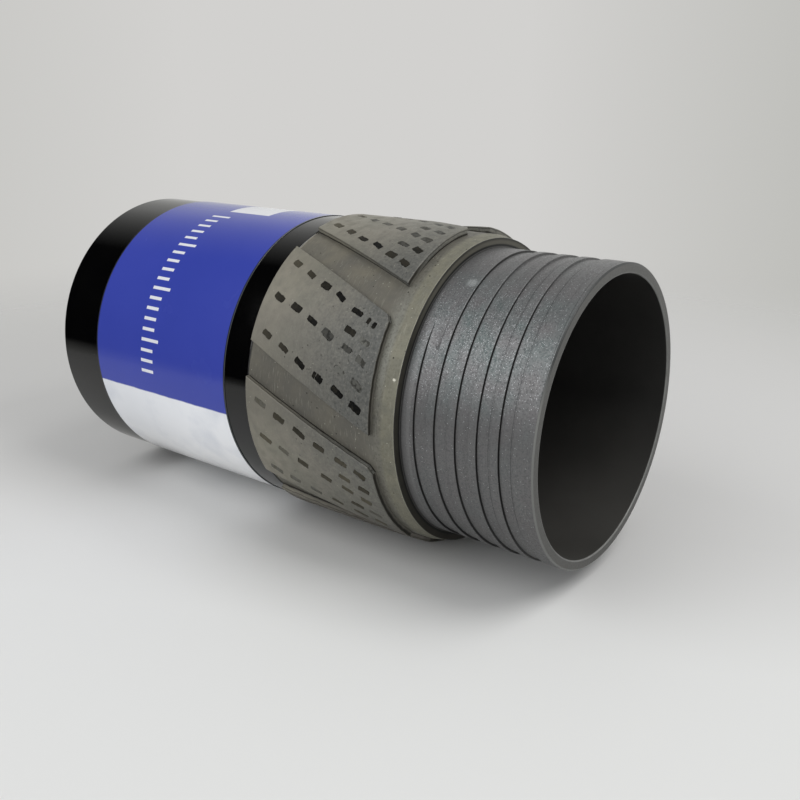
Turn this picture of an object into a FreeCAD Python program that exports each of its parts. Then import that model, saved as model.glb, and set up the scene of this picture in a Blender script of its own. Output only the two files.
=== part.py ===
# Diamond reaming shell for a wireline core barrel, H size.
# A steel tube with a box at the rear and a pin at the front, seven sintered pads with hard
# inserts round its front half, and a printed wrap label round its rear half.
# The pin and the box are turned to the crests of their threads.
# Millimetres. The origin is the centre of the rear face, and +Z runs along the axis to the pin.
# Angles are in degrees from the -Y side towards +X, the way a right-hand thread turns going up +Z.
import FreeCAD, Part
import Sketcher
import math
import os

SIZES = (
    # radii, built outwards from the bore
    ("bore_diameter", 78.4),
    ("pin_wall", 2.9),
    ("shoulder_width", 2.7),
    ("ring_fall", 0.8),
    ("seat_depth", 0.45),
    ("pad_height", 1.8),
    # lengths, from the rear face to the pin's nose
    ("rear_band_length", 19.0),
    ("label_length", 61.25),
    ("front_band_length", 10.05),
    ("pad_length", 45.1),
    ("ring_length", 6.5),
    ("ring_taper_length", 3.7),
    ("pin_length", 39.1),
    # broken edges
    ("rear_chamfer", 0.8),
    ("mouth_chamfer", 0.5),
    ("nose_chamfer", 0.4),
    ("nose_bore_chamfer", 0.3),
    # the box at the rear takes a pin like the one at the front
    ("thread_depth", 0.75),
    ("box_clearance", 0.1),
    ("box_gap", 1.0),
    ("box_mouth_clearance", 0.45),
    ("box_mouth_length", 3.2),
    ("box_relief_length", 4.6),
    ("box_relief_clearance", 0.3),
    # pads and the waterways between them
    ("pad_count", 7),
    ("pad_phase", -19.3),
    ("pad_helix_angle", 22.0),
    ("waterway_width", 10.0),
    ("pad_corner_clip", 1.5),
    # hard inserts set in the pads
    ("insert_length", 4.0),
    ("insert_width", 1.7),
    ("insert_stand", 0.05),
    ("insert_bed", 0.4),
    ("insert_rows", 3),
    ("insert_rear_margin", 6.2),
    ("insert_front_margin", 4.75),
    ("insert_front_pitch", 5.95),
    ("insert_side_margin", 4.8),
    # printed label on its line of glue
    ("label_bond", 0.05),
    ("label_thickness", 0.15),
    ("label_gap", 2.0),
)
PLAIN_COLUMNS = 4       # columns of inserts that have the plain rows only
CROWDED_COLUMNS = 2     # columns by the front that have one more insert between two rows
CUTTER_MARGIN = 3.0     # how far a cutter or a form runs past what it trims

doc = FreeCAD.newDocument("reaming_shell")


class Size:
    """A number with the sheet formula that gives it."""

    def __init__(self, value, formula):
        self.value = value
        self.formula = formula

    def __add__(self, other):
        return combined(self, "+", other, self.value + number(other))

    def __sub__(self, other):
        return combined(self, "-", other, self.value - number(other))

    def __truediv__(self, other):
        return combined(self, "/", other, self.value / number(other))


def number(term):
    return term.value if isinstance(term, Size) else term


def combined(left, sign, right, value):
    right_formula = right.formula if isinstance(right, Size) else str(right)
    return Size(value, "(" + left.formula + " " + sign + " " + right_formula + ")")


def fill_sheet():
    """Puts the driving sizes into the sheet and returns them by name."""
    sheet = doc.addObject("Spreadsheet::Sheet", "sizes")
    named = {}
    for row, (alias, value) in enumerate(SIZES, start=1):
        sheet.set("A" + str(row), alias)
        sheet.set("B" + str(row), str(value))
        sheet.setAlias("B" + str(row), alias)
        named[alias] = Size(value, "sizes." + alias)
    doc.recompute()
    return named


size = fill_sheet()
ZERO = Size(0.0, "0")

# radii
bore_r = size["bore_diameter"] / 2
pin_r = bore_r + size["pin_wall"]
lip_r = pin_r + size["shoulder_width"]
seat_r = lip_r + size["ring_fall"]
body_r = seat_r + size["seat_depth"]
pad_r = seat_r + size["pad_height"]
box_r = pin_r - size["thread_depth"] + size["box_clearance"]
box_mouth_r = pin_r + size["box_mouth_clearance"]
box_relief_r = pin_r + size["box_relief_clearance"]
insert_bed_r = seat_r + size["insert_bed"]
insert_top_r = pad_r + size["insert_stand"]

# stations along the axis
label_start = size["rear_band_length"]
pad_start = label_start + size["label_length"] + size["front_band_length"]
pad_end = pad_start + size["pad_length"]
shoulder = pad_end + size["ring_length"]
nose = shoulder + size["pin_length"]
box_depth = size["pin_length"] + size["box_gap"]
relief_start = box_depth - size["box_relief_length"]


def origin_plane(body, role):
    """One of a body's own origin planes."""
    return next(plane for plane in body.Origin.OriginFeatures if plane.Role == role)


def turned(angle):
    """A turn about Z that takes the +X side to the given angle."""
    return FreeCAD.Rotation(FreeCAD.Vector(0, 0, 1), angle - 90.0)


def draw_outline(sketch, corners):
    """A closed run of lines, each corner held across and up by its formula."""
    for index, (across, up) in enumerate(corners):
        next_across, next_up = corners[(index + 1) % len(corners)]
        start = FreeCAD.Vector(across.value, up.value, 0)
        end = FreeCAD.Vector(next_across.value, next_up.value, 0)
        sketch.addGeometry(Part.LineSegment(start, end), False)
    for index, (across, up) in enumerate(corners):
        following = (index + 1) % len(corners)
        sketch.addConstraint(Sketcher.Constraint("Coincident", index, 2, following, 1))
        hold(sketch, index, "DistanceX", across)
        hold(sketch, index, "DistanceY", up)


def hold(sketch, line, kind, term):
    """Ties the start of a line to the sketch's origin by a formula."""
    if term is ZERO:
        axis = -1 if kind == "DistanceY" else -2
        sketch.addConstraint(Sketcher.Constraint("PointOnObject", line, 1, axis))
        return
    constraint = sketch.addConstraint(Sketcher.Constraint(kind, -1, 1, line, 1, term.value))
    sketch.setExpression("Constraints[" + str(constraint) + "]", term.formula)


def axial_sketch(body, name, corners):
    """An outline of (radius, height) corners in the half-plane through the axis."""
    sketch = body.newObject("Sketcher::SketchObject", name)
    sketch.AttachmentSupport = [(origin_plane(body, "XZ_Plane"), "")]
    sketch.MapMode = "FlatFace"
    draw_outline(sketch, corners)
    return sketch


def tube_outline():
    """The turned section: outside from the rear to the nose, then the bore and box back."""
    rear_chamfer = size["rear_chamfer"]
    mouth_chamfer = size["mouth_chamfer"]
    nose_chamfer = size["nose_chamfer"]
    nose_bore_chamfer = size["nose_bore_chamfer"]
    mouth_end = size["box_mouth_length"]
    return (
        (box_mouth_r + mouth_chamfer, ZERO),
        (body_r - rear_chamfer, ZERO),
        (body_r, rear_chamfer),
        (body_r, pad_start - size["seat_depth"]),
        (seat_r, pad_start),
        (seat_r, shoulder - size["ring_taper_length"]),
        (lip_r, shoulder),
        (pin_r, shoulder),
        (pin_r, nose - nose_chamfer),
        (pin_r - nose_chamfer, nose),
        (bore_r + nose_bore_chamfer, nose),
        (bore_r, nose - nose_bore_chamfer),
        (bore_r, box_depth),
        (box_relief_r, box_depth),
        (box_relief_r, relief_start),
        (box_r, relief_start),
        (box_r, mouth_end + (box_mouth_r - box_r)),
        (box_mouth_r, mouth_end),
        (box_mouth_r, mouth_chamfer),
    )


def make_shell_body():
    """The steel tube, turned outside and inside in one section."""
    body = doc.addObject("PartDesign::Body", "shell_body")
    tube = body.newObject("PartDesign::Revolution", "turned_tube")
    tube.Profile = axial_sketch(body, "tube_section", tube_outline())
    tube.ReferenceAxis = (tube.Profile[0], ["V_Axis"])
    tube.Angle = 360.0
    return body


def cylinder(name, radius, height, base):
    shape = doc.addObject("Part::Cylinder", name)
    shape.setExpression("Radius", radius.formula)
    shape.setExpression("Height", height.formula)
    shape.setExpression("Placement.Base.z", base.formula)
    return shape


def cut(name, base, tool):
    result = doc.addObject("Part::Cut", name)
    result.Base = base
    result.Tool = tool
    return result


def common(name, base, tool):
    result = doc.addObject("Part::Common", name)
    result.Base = base
    result.Tool = tool
    return result


# degrees of turn for each millimetre up the helix, and the pads' share of the circle
pad_turn = math.degrees(math.tan(math.radians(size["pad_helix_angle"].value))) / pad_r.value
pad_pitch = 360.0 / size["pad_count"].value
pad_angle = pad_pitch - math.degrees(size["waterway_width"].value / seat_r.value)


def helical_sector(index):
    """A sector of the circle drawn up a helix, taller than a pad and wider in radius."""
    low = pad_start.value - CUTTER_MARGIN
    rise = size["pad_length"] + CUTTER_MARGIN * 2
    start_angle = size["pad_phase"].value + index * pad_pitch - CUTTER_MARGIN * pad_turn
    place = FreeCAD.Placement(FreeCAD.Vector(0, 0, low), turned(start_angle))

    spine = doc.addObject("Part::Helix", "pad_helix_" + str(index + 1))
    spine.Pitch = 360.0 / pad_turn
    spine.setExpression("Height", rise.formula)
    spine.setExpression("Radius", pad_r.formula)
    spine.Placement = place

    half = math.radians(pad_angle / 2)
    inner = seat_r.value - CUTTER_MARGIN
    outer = (pad_r.value + CUTTER_MARGIN) / math.cos(half)
    corners = [
        FreeCAD.Vector(inner * math.cos(-half), inner * math.sin(-half), 0),
        FreeCAD.Vector(outer * math.cos(-half), outer * math.sin(-half), 0),
        FreeCAD.Vector(outer * math.cos(half), outer * math.sin(half), 0),
        FreeCAD.Vector(inner * math.cos(half), inner * math.sin(half), 0),
    ]
    section = doc.addObject("Part::Polygon", "pad_section_" + str(index + 1))
    section.Nodes = corners
    section.Close = True
    section.Placement = place

    sweep = doc.addObject("Part::Sweep", "pad_sector_" + str(index + 1))
    sweep.Sections = [section]
    sweep.Spine = (spine, ["Edge1"])
    sweep.Solid = True
    sweep.Frenet = True
    return sweep


def surface_frame(angle, height, radius, turn):
    """A place on the round: X across the surface at a turn from the axis, Z outwards."""
    around = math.radians(angle)
    outward = FreeCAD.Vector(math.sin(around), -math.cos(around), 0)
    sideways = FreeCAD.Vector(math.cos(around), math.sin(around), 0)
    upward = FreeCAD.Vector(0, 0, 1)
    lean = math.radians(turn)
    along = upward * math.cos(lean) + sideways * math.sin(lean)
    across = outward.cross(along)
    point = FreeCAD.Vector(radius * outward.x, radius * outward.y, height)
    return FreeCAD.Placement(point, FreeCAD.Rotation(along, across, outward, "ZXY"))


def pad_edge_angle(index, height):
    """The angle of a pad's first long edge at a height."""
    centre = size["pad_phase"].value + index * pad_pitch
    return centre - pad_angle / 2 + (height - pad_start.value) * pad_turn


def insert_places(index):
    """Angle and height of each insert of one pad."""
    rows = int(size["insert_rows"].value)
    margin = math.degrees(size["insert_side_margin"].value / pad_r.value)
    row_pitch = (pad_angle - 2 * margin) / (rows - 1)
    first = pad_start.value + size["insert_rear_margin"].value
    last = pad_end.value - size["insert_front_margin"].value
    before_last = last - size["insert_front_pitch"].value
    heights = [first + (before_last - first) * step / PLAIN_COLUMNS for step in range(PLAIN_COLUMNS)]
    heights += [before_last, last]
    places = []
    for column, height in enumerate(heights):
        crowded = column >= len(heights) - CROWDED_COLUMNS
        steps = 2 * rows - 1 if crowded else rows
        spacing = row_pitch / 2 if crowded else row_pitch
        for step in range(steps):
            angle = pad_edge_angle(index, height) + margin + step * spacing
            places.append((angle, height))
    return places


def make_inserts(index):
    """The bars set in one pad, from their beds to just proud of it."""
    blocks = []
    for place_number, (angle, height) in enumerate(insert_places(index), start=1):
        name = "insert_" + str(index + 1) + "_" + str(place_number)
        block = doc.addObject("Part::Box", name)
        block.setExpression("Length", size["insert_length"].formula)
        block.setExpression("Width", size["insert_width"].formula)
        block.setExpression("Height", (insert_top_r - insert_bed_r).formula)
        centred = FreeCAD.Vector(-size["insert_length"].value / 2, -size["insert_width"].value / 2, 0)
        place = surface_frame(angle, height, insert_bed_r.value, size["pad_helix_angle"].value)
        block.Placement = place.multiply(FreeCAD.Placement(centred, FreeCAD.Rotation()))
        blocks.append(block)
    inserts = doc.addObject("Part::Compound", "inserts_" + str(index + 1))
    inserts.Links = blocks
    return inserts


def corner_block(index):
    """The block that takes off a pad's sharp front corner."""
    clip = size["pad_corner_clip"].value
    height = pad_end.value - clip / 2
    angle = pad_edge_angle(index, pad_end.value) + math.degrees(clip / 2 / pad_r.value)
    reach = clip + CUTTER_MARGIN
    block = doc.addObject("Part::Box", "corner_block_" + str(index + 1))
    block.Length = reach * 2
    block.Width = reach
    block.Height = reach * 2
    lean = 45.0 + size["pad_helix_angle"].value / 2
    place = surface_frame(angle, height, pad_r.value, lean)
    block.Placement = place.multiply(
        FreeCAD.Placement(FreeCAD.Vector(-reach, 0, -reach), FreeCAD.Rotation())
    )
    return block


def make_pads():
    """Each pad is trimmed from a band round the seat, then pocketed by its inserts."""
    band_outer = cylinder("pad_band_outer", pad_r, size["pad_length"], pad_start)
    band_inner = cylinder("pad_band_inner", seat_r, size["pad_length"], pad_start)
    band = cut("pad_band", band_outer, band_inner)
    pads = []
    for index in range(int(size["pad_count"].value)):
        form = common("pad_form_" + str(index + 1), band, helical_sector(index))
        clipped = cut("pad_clipped_" + str(index + 1), form, corner_block(index))
        inserts = make_inserts(index)
        pads.append(cut("pad_" + str(index + 1), clipped, inserts))
        pads.append(inserts)
    return pads


def make_label():
    """A thin sleeve wrapped round the body, with a narrow gap where its ends nearly meet."""
    inner_r = body_r + size["label_bond"]
    outer_r = inner_r + size["label_thickness"]
    sleeve = cylinder("label_outer", outer_r, size["label_length"], label_start)
    gap_angle = math.degrees(size["label_gap"].value / body_r.value)
    sleeve.Angle = 360.0 - gap_angle
    sleeve.Placement.Rotation = turned(180.0 + gap_angle / 2)
    return cut("label", sleeve, cylinder("label_inner", inner_r, size["label_length"], label_start))


def check_and_export(parts):
    """Stops on any failed object or bad shape, then writes one file for each part."""
    doc.recompute()
    for item in doc.Objects:
        if {"Invalid", "Error"} & set(item.State):
            raise RuntimeError(item.Name + " failed to build")
    for part in parts:
        part.Label = part.Name
        if part.Shape.isNull() or not part.Shape.isValid() or not part.Shape.Solids:
            raise RuntimeError(part.Name + " has no sound shape")
    os.makedirs("parts", exist_ok=True)
    for part in parts:
        part.Shape.exportStep("parts/" + part.Label + ".step")
        print(part.Label, len(part.Shape.Solids), "solids", round(part.Shape.Volume, 1), "mm3")


check_and_export([make_shell_body(), make_label()] + make_pads())
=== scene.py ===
import math

import bmesh
import bpy
from mathutils import Matrix, Vector, noise


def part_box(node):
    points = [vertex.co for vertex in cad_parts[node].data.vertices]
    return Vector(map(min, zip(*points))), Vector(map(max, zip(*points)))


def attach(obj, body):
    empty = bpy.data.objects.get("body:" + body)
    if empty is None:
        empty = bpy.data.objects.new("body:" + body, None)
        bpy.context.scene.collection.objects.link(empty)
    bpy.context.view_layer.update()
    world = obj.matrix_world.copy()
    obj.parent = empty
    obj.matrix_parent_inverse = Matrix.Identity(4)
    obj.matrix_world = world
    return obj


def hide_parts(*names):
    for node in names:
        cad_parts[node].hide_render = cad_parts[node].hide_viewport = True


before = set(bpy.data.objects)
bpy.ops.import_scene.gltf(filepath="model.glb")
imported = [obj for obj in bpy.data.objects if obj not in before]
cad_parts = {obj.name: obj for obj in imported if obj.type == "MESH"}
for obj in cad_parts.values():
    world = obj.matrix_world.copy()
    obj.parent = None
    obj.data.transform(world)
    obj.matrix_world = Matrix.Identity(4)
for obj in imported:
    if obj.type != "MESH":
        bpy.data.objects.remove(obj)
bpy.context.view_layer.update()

scene = bpy.context.scene

# Diamond reaming shell for a wireline core barrel, standing on its rear face.
# Lengths named below are millimetres, and angles are degrees from the -Y side towards +X.
MM = 0.001


# Steel shell
# One piece of heavy tube, turned inside and out: a box at the rear, a pin at the front and a seat for the
# pads between them. The barrel is sprayed gloss black, the seat and ring carry the sintered coat of the
# pads, and the pin is phosphated.
_, tube_high = (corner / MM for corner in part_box("shell_body"))
pad_low, pad_high = (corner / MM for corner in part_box("pad_1"))

nose = tube_high.z
body_r = tube_high.x
pad_start, pad_end = pad_low.z, pad_high.z
bore_r = 39.2
pin_r = 42.1
lip_r = 44.8
seat_r = 45.6
seat_depth = body_r - seat_r
shoulder = 141.9
ring_taper = 3.7
rear_chamfer = 0.8
mouth_chamfer = 0.5
nose_chamfer = 0.4
bore_chamfer = 0.3
box_r = 41.45
box_mouth_r = 42.55
box_mouth_length = 3.2
relief_r = 42.4
relief_start, relief_end = 35.5, 40.1
edge_ease = 0.12

thread_lead = 6.35
thread_depth = 0.55
flank_run = 0.2
pin_groove = 3.6
box_groove = 2.45
flank_ease = 0.1
pin_first_flank = 145.5     # height of the first groove's rear edge on the -Y side
pin_groove_opens = -24.0    # degrees of turn at which the groove runs in, and then out
pin_groove_closes = 1555.0
pin_run_in, pin_run_out = 18, 16    # degrees that it takes to deepen, and to fade
box_run_in = 0.6
columns = 360
seat_row = 1.2              # spacing of the rows that carry the coat's roughness


def place(angle, radius, height):
    """A point of the round, in metres."""
    around = math.radians(angle)
    return Vector((radius * math.sin(around), -radius * math.cos(around), height)) * MM


def eased(corners):
    """The outline with every inner corner rounded off, and held flat beside the rounding."""
    points = [corners[0]]
    for before, corner, after in zip(corners, corners[1:], corners[2:]):
        before, corner, after = Vector(before), Vector(corner), Vector(after)
        back, on = before - corner, after - corner
        ways = (back, on)
        held_back, held_on = (way.normalized() * min(edge_ease * 2.5, way.length * 0.46) for way in ways)
        back, on = (way.normalized() * min(edge_ease, way.length * 0.38) for way in ways)
        points += [corner + step for step in (held_back, back, (back + on) * 0.25, on, held_on)]
    points.append(corners[-1])
    return [tuple(point) for point in points]


def add_skin(shell, rings, seam_shift=0):
    """Faces between rings of (angle, radius, height); seam_shift rings are passed where a turn closes."""
    grid = [[shell.verts.new(place(*spot)) for spot in ring] for ring in rings]
    for row in range(len(grid) - 1):
        for column in range(columns):
            after = (column + 1) % columns
            shift = seam_shift if after == 0 else 0
            if row + 1 + shift < len(grid):
                shell.faces.new((grid[row][column], grid[row + shift][after],
                                 grid[row + 1 + shift][after], grid[row + 1][column]))


def turned_rings(points):
    return [[(-180 + 360 * column / columns, *point) for column in range(columns)] for point in points]


def groove_corners(groove):
    """The four corners of a groove's section, as runs from its rear edge."""
    return 0, flank_run, flank_run + groove, groove + 2 * flank_run


def groove_drop(run, groove):
    """How deep a groove is, from 0 to 1, at a run past its rear edge, with its corners eased."""
    corners = groove_corners(groove)
    drops = (0, 1, 1, 0)
    total = 0
    samples = 9
    for sample in range(samples):
        at = run + flank_ease * (sample / (samples - 1) - 0.5)
        for left, right, first, last in zip(corners, corners[1:], drops, drops[1:]):
            if left <= at <= right:
                total += first + (last - first) * (at - left) / (right - left)
    return total / samples


def ease_in(value):
    value = min(1.0, max(0.0, value))
    return value * value * (3 - 2 * value)


def thread_rings(low, high, first_flank, groove, radius_at):
    """Rows that climb with the thread, held between two heights."""
    runs = [corner + ease * flank_ease for corner in groove_corners(groove) for ease in (-0.5, 0, 0.5)]
    beyond = flank_ease * 1.6
    runs += [-beyond, groove_corners(groove)[-1] + beyond]
    first_turn = math.floor((low - first_flank) / thread_lead) - 1
    last_turn = math.ceil((high - first_flank) / thread_lead) + 1
    rings = []
    for turn in range(first_turn, last_turn + 1):
        for run in sorted(runs):
            ring = []
            for column in range(columns):
                angle = -180 + 360 * column / columns
                turned = angle + 360 * turn
                height = min(high, max(low, first_flank + thread_lead * turned / 360 + run))
                ring.append((angle, radius_at(run, turned, height), height))
            rings.append(ring)
    return rings, len(runs)


def pin_radius(run, turned, height):
    fade = ease_in((turned - pin_groove_opens) / pin_run_in)
    fade *= ease_in((pin_groove_closes - turned) / pin_run_out)
    return pin_r - thread_depth * groove_drop(run, pin_groove) * fade


def box_radius(run, turned, height):
    fade = ease_in((height - box_cone_end) / box_run_in) * ease_in((relief_start - height) / box_run_in)
    return box_r + thread_depth * groove_drop(run, box_groove) * fade


def closer_rows(points, low, high):
    """Adds rows along the straight stretches between two heights, for the coat's roughness."""
    made = [points[0]]
    for (radius, height), (next_radius, next_height) in zip(points, points[1:]):
        if low <= height and next_height <= high:
            steps = max(1, round((next_height - height) / seat_row))
            made += [(radius + (next_radius - radius) * step / steps,
                      height + (next_height - height) * step / steps) for step in range(1, steps)]
        made.append((next_radius, next_height))
    return made


box_cone_end = box_mouth_length + box_mouth_r - box_r
outside = eased([
    (box_mouth_r + mouth_chamfer, 0), (body_r - rear_chamfer, 0), (body_r, rear_chamfer),
    (body_r, pad_start - seat_depth), (seat_r, pad_start), (seat_r, shoulder - ring_taper),
    (lip_r, shoulder), (pin_r, shoulder),
])
front = eased([
    (pin_r, nose - nose_chamfer), (pin_r - nose_chamfer, nose), (bore_r + bore_chamfer, nose),
    (bore_r, nose - bore_chamfer), (bore_r, relief_end), (relief_r, relief_end),
    (relief_r, relief_start), (box_r, relief_start),
])
mouth = [(box_r, box_cone_end)] + eased([
    (box_r, box_cone_end), (box_mouth_r, box_mouth_length), (box_mouth_r, mouth_chamfer),
    (box_mouth_r + mouth_chamfer, 0),
])[1:]

shell = bmesh.new()
add_skin(shell, turned_rings(closer_rows(outside, pad_start, shoulder)))
add_skin(shell, *thread_rings(shoulder, nose - nose_chamfer, pin_first_flank, pin_groove, pin_radius))
add_skin(shell, turned_rings(front))
add_skin(shell, *thread_rings(box_cone_end, relief_start, box_cone_end, box_groove, box_radius))
add_skin(shell, turned_rings(mouth))
bmesh.ops.remove_doubles(shell, verts=shell.verts, dist=0.004 * MM)
bmesh.ops.dissolve_degenerate(shell, edges=shell.edges, dist=0.002 * MM)
bmesh.ops.recalc_face_normals(shell, faces=shell.faces)

PAINT, COAT, SHOULDER, PIN, BORE = range(5)
coat_roughness = 0.035      # how far the cast surface of the seat and ring strays from the round
for vertex in shell.verts:
    radius, height = vertex.co.xy.length / MM, vertex.co.z / MM
    if pad_start + 0.2 < height < shoulder - 0.02 and radius > lip_r - 0.05:
        stray = noise.noise(vertex.co * 210) + 0.6 * noise.noise(vertex.co * 700)
        vertex.co.xy *= 1 + coat_roughness * stray / radius
for face in shell.faces:
    middle = face.calc_center_median()
    radius, height = middle.xy.length / MM, middle.z / MM
    facing = face.normal.xy.dot(middle.xy)
    if height > shoulder - 0.01 and height < shoulder + 0.01 and pin_r < radius < lip_r:
        face.material_index = SHOULDER
    elif height > shoulder - 0.2:
        inside = facing < 0 and height < nose - bore_chamfer * 1.2 and radius < bore_r + 0.1
        face.material_index = BORE if inside else PIN
    elif facing < 0 or radius < body_r - rear_chamfer - 1:
        face.material_index = BORE
    elif height > pad_start - seat_depth * 0.6:
        face.material_index = COAT


def as_object(name, built, sharp_angle):
    """A built mesh as an object of the scene, smooth but for the edges past an angle."""
    made = bpy.data.objects.new(name, bpy.data.meshes.new(name))
    built.to_mesh(made.data)
    built.free()
    made.data.shade_smooth()
    made.data.set_sharp_from_angle(angle=math.radians(sharp_angle))
    scene.collection.objects.link(made)
    return made


steel_shell = as_object("steel_shell", shell, 32)


def seen(red, green, blue):
    """A colour as the eye reads it, 0 to 255 each, in the values that a shader takes."""
    levels = (((level / 255 + 0.055) / 1.055) ** 2.4 for level in (red, green, blue))
    return (*levels, 1.0)


class Value:
    """A number, a vector or a colour in a node tree; sums of numbers turn into nodes of the tree."""

    def __init__(self, tree, socket):
        self.tree, self.socket = tree, socket

    def into(self, socket):
        self.tree.links.new(self.socket, socket)

    def __add__(self, other):
        return maths("ADD", self, other)

    def __sub__(self, other):
        return maths("SUBTRACT", self, other)

    def __rsub__(self, other):
        return maths("SUBTRACT", other, self)

    def __mul__(self, other):
        return maths("MULTIPLY", self, other)

    def __truediv__(self, other):
        return maths("DIVIDE", self, other)

    def __rtruediv__(self, other):
        return maths("DIVIDE", other, self)

    def __neg__(self):
        return maths("MULTIPLY", self, -1.0)


class Node:
    """A node of a tree; its outputs are taken from it by name or by place."""

    def __init__(self, tree, node):
        self.tree, self.node = tree, node

    def __getitem__(self, output):
        return Value(self.tree, self.node.outputs[output])


def feed(sockets, values):
    """Links each socket that is given a value of the tree, and sets the others."""
    for name, value in dict(values).items():
        if isinstance(value, Value):
            value.into(sockets[name])
        else:
            sockets[name].default_value = value


def put(tree, kind, inputs=(), **settings):
    """Adds a node with its inputs and its settings."""
    node = tree.nodes.new(kind)
    for name, value in settings.items():
        setattr(node, name, value)
    feed(node.inputs, inputs)
    return Node(tree, node)


def tree_of(*parts):
    return next(part.tree for part in parts if isinstance(part, Value))


def maths(operation, *terms):
    """The result of one sum."""
    return put(tree_of(*terms), "ShaderNodeMath", enumerate(terms), operation=operation)[0]


def vector_maths(operation, *terms):
    output = "Value" if operation in ("DISTANCE", "DOT_PRODUCT", "LENGTH") else "Vector"
    return put(tree_of(*terms), "ShaderNodeVectorMath", enumerate(terms), operation=operation)[output]


def vector(tree, x, y, z=0.0):
    return put(tree, "ShaderNodeCombineXYZ", {"X": x, "Y": y, "Z": z})[0]


def axes_of(value):
    return put(value.tree, "ShaderNodeSeparateXYZ", {0: value})


def on_object(tree):
    return put(tree, "ShaderNodeTexCoord")["Object"]


def noisy(tree, dimensions, **inputs):
    return put(tree, "ShaderNodeTexNoise", inputs, noise_dimensions=dimensions)


def spread(value, low, high, to_low=0.0, to_high=1.0, **settings):
    """A value's range stretched over another, and held there."""
    ends = {"Value": value, "From Min": low, "From Max": high, "To Min": to_low, "To Max": to_high}
    return put(value.tree, "ShaderNodeMapRange", ends, **settings)["Result"]


def band(value, rise, fall):
    """A soft band of a value: up from 0 to 1 over one range of it, and down again over a later one."""
    return spread(value, *rise) * spread(value, *reversed(fall))


def tint(share, first, second):
    """The first colour going over to the second by a share; a colour of three numbers is taken as seen."""
    first, second = (seen(*colour) if isinstance(colour, tuple) and len(colour) == 3 else colour
                     for colour in (first, second))
    mixed = {0: share, 6: first, 7: second}
    return put(tree_of(share, first, second), "ShaderNodeMix", mixed, data_type="RGBA")[2]


def laid(colour, *coats):
    """A colour with others laid over it in turn, each by a share."""
    for share, coat in coats:
        colour = tint(share, colour, coat)
    return colour


def shader_group(name, inputs, outputs):
    """A shader effect with named inputs and outputs, for more than one material."""
    group = bpy.data.node_groups.new(name, "ShaderNodeTree")
    for socket, value in inputs.items():
        made = group.interface.new_socket(socket, in_out="INPUT", socket_type="NodeSocketFloat")
        made.default_value = value
    for socket in outputs:
        group.interface.new_socket(socket, in_out="OUTPUT", socket_type="NodeSocketFloat")
    return group, put(group, "NodeGroupInput"), group.nodes.new("NodeGroupOutput").inputs


# where a point lies on the round: its angle in degrees, its height and its radius in millimetres
on_round, _, found = shader_group("place_on_the_round", {}, ("Angle", "Height", "Radius"))
axes = axes_of(on_object(on_round))
maths("DEGREES", maths("ARCTAN2", axes["X"], -axes["Y"])).into(found["Angle"])
(axes["Z"] / MM).into(found["Height"])
across = maths("SQRT", maths("POWER", axes["X"], 2.0) + maths("POWER", axes["Y"], 2.0))
(across / MM).into(found["Radius"])


def placed(tree):
    """A point's angle, height and radius on the round."""
    spot = put(tree, "ShaderNodeGroup", node_tree=on_round)
    return spot["Angle"], spot["Height"], spot["Radius"]


# soft patches of a size in millimetres, shown where the noise is above a level
patches, given, found = shader_group("patches", {
    "Size": 5.0, "Fineness": 3.0, "Level": 0.5, "Softness": 0.1, "Shift": 0.0}, ("Mask", "Height"))
field = noisy(patches, "4D", Vector=on_object(patches), W=given["Shift"], Scale=1 / MM / given["Size"],
              Detail=given["Fineness"])[0]
spread(field, given["Level"] - given["Softness"], given["Level"] + given["Softness"]).into(found["Mask"])
field.into(found["Height"])

# single specks, a share of the cells of a spacing in millimetres
specks, given, found = shader_group("specks", {"Spacing": 0.5, "Share": 0.1, "Spread": 0.35}, ("Mask",))
cells = put(specks, "ShaderNodeTexVoronoi", {
    "Vector": on_object(specks), "Scale": 1 / MM / given["Spacing"]})
chosen = maths("LESS_THAN", put(specks, "ShaderNodeSeparateColor", {0: cells["Color"]})[0], given["Share"])
near = spread(cells["Distance"], given["Spread"] * 0.5, given["Spread"], 1.0, 0.0)
(chosen * near).into(found["Mask"])

# the fine lines that a tool leaves round turned work, a pitch in millimetres apart
tool_lines, given, found = shader_group("tool_lines", {"Pitch": 0.4, "Waver": 0.02}, ("Line",))
angle, height, _ = placed(tool_lines)
packed = vector(tool_lines, height / given["Pitch"], angle * given["Waver"])
noisy(tool_lines, "2D", Vector=packed, Scale=1.0, Detail=3.0)[0].into(found["Line"])


def patchy(tree, size, fineness, level=0.5, softness=0.1, shift=0.0):
    """Soft patches in a material: their mask, and the noise behind it as a height."""
    values = {"Size": size, "Fineness": fineness, "Level": level, "Softness": softness, "Shift": shift}
    return put(tree, "ShaderNodeGroup", values, node_tree=patches)


def speckled(tree, spacing, share, reach):
    """The mask of single specks in a material."""
    values = {"Spacing": spacing, "Share": share, "Spread": reach}
    return put(tree, "ShaderNodeGroup", values, node_tree=specks)["Mask"]


def tooled(tree, pitch, waver):
    return put(tree, "ShaderNodeGroup", {"Pitch": pitch, "Waver": waver}, node_tree=tool_lines)["Line"]


def scratched(angle, height, across, around, level):
    """Faint scratches round the shell; across and around say how closely the noise is packed each way."""
    packed = vector(angle.tree, height * across, angle * around)
    scratch = noisy(angle.tree, "2D", Vector=packed, Scale=1.0, Detail=4.0, Distortion=0.6)[0]
    return spread(scratch, level, level + 0.1) * 0.3


def away_from(tree, centre):
    """How far a point lies from a centre, in millimetres."""
    return vector_maths("DISTANCE", on_object(tree), centre) / MM


def finish(name, **sockets):
    """A new surface finish; its shader's own sockets are given by name."""
    material = bpy.data.materials.new(name)
    material.use_nodes = True
    tree = material.node_tree
    inputs = tree.nodes["Principled BSDF"].inputs
    feed(inputs, {socket.replace("_", " "): value for socket, value in sockets.items()})
    return material, tree, inputs


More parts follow.
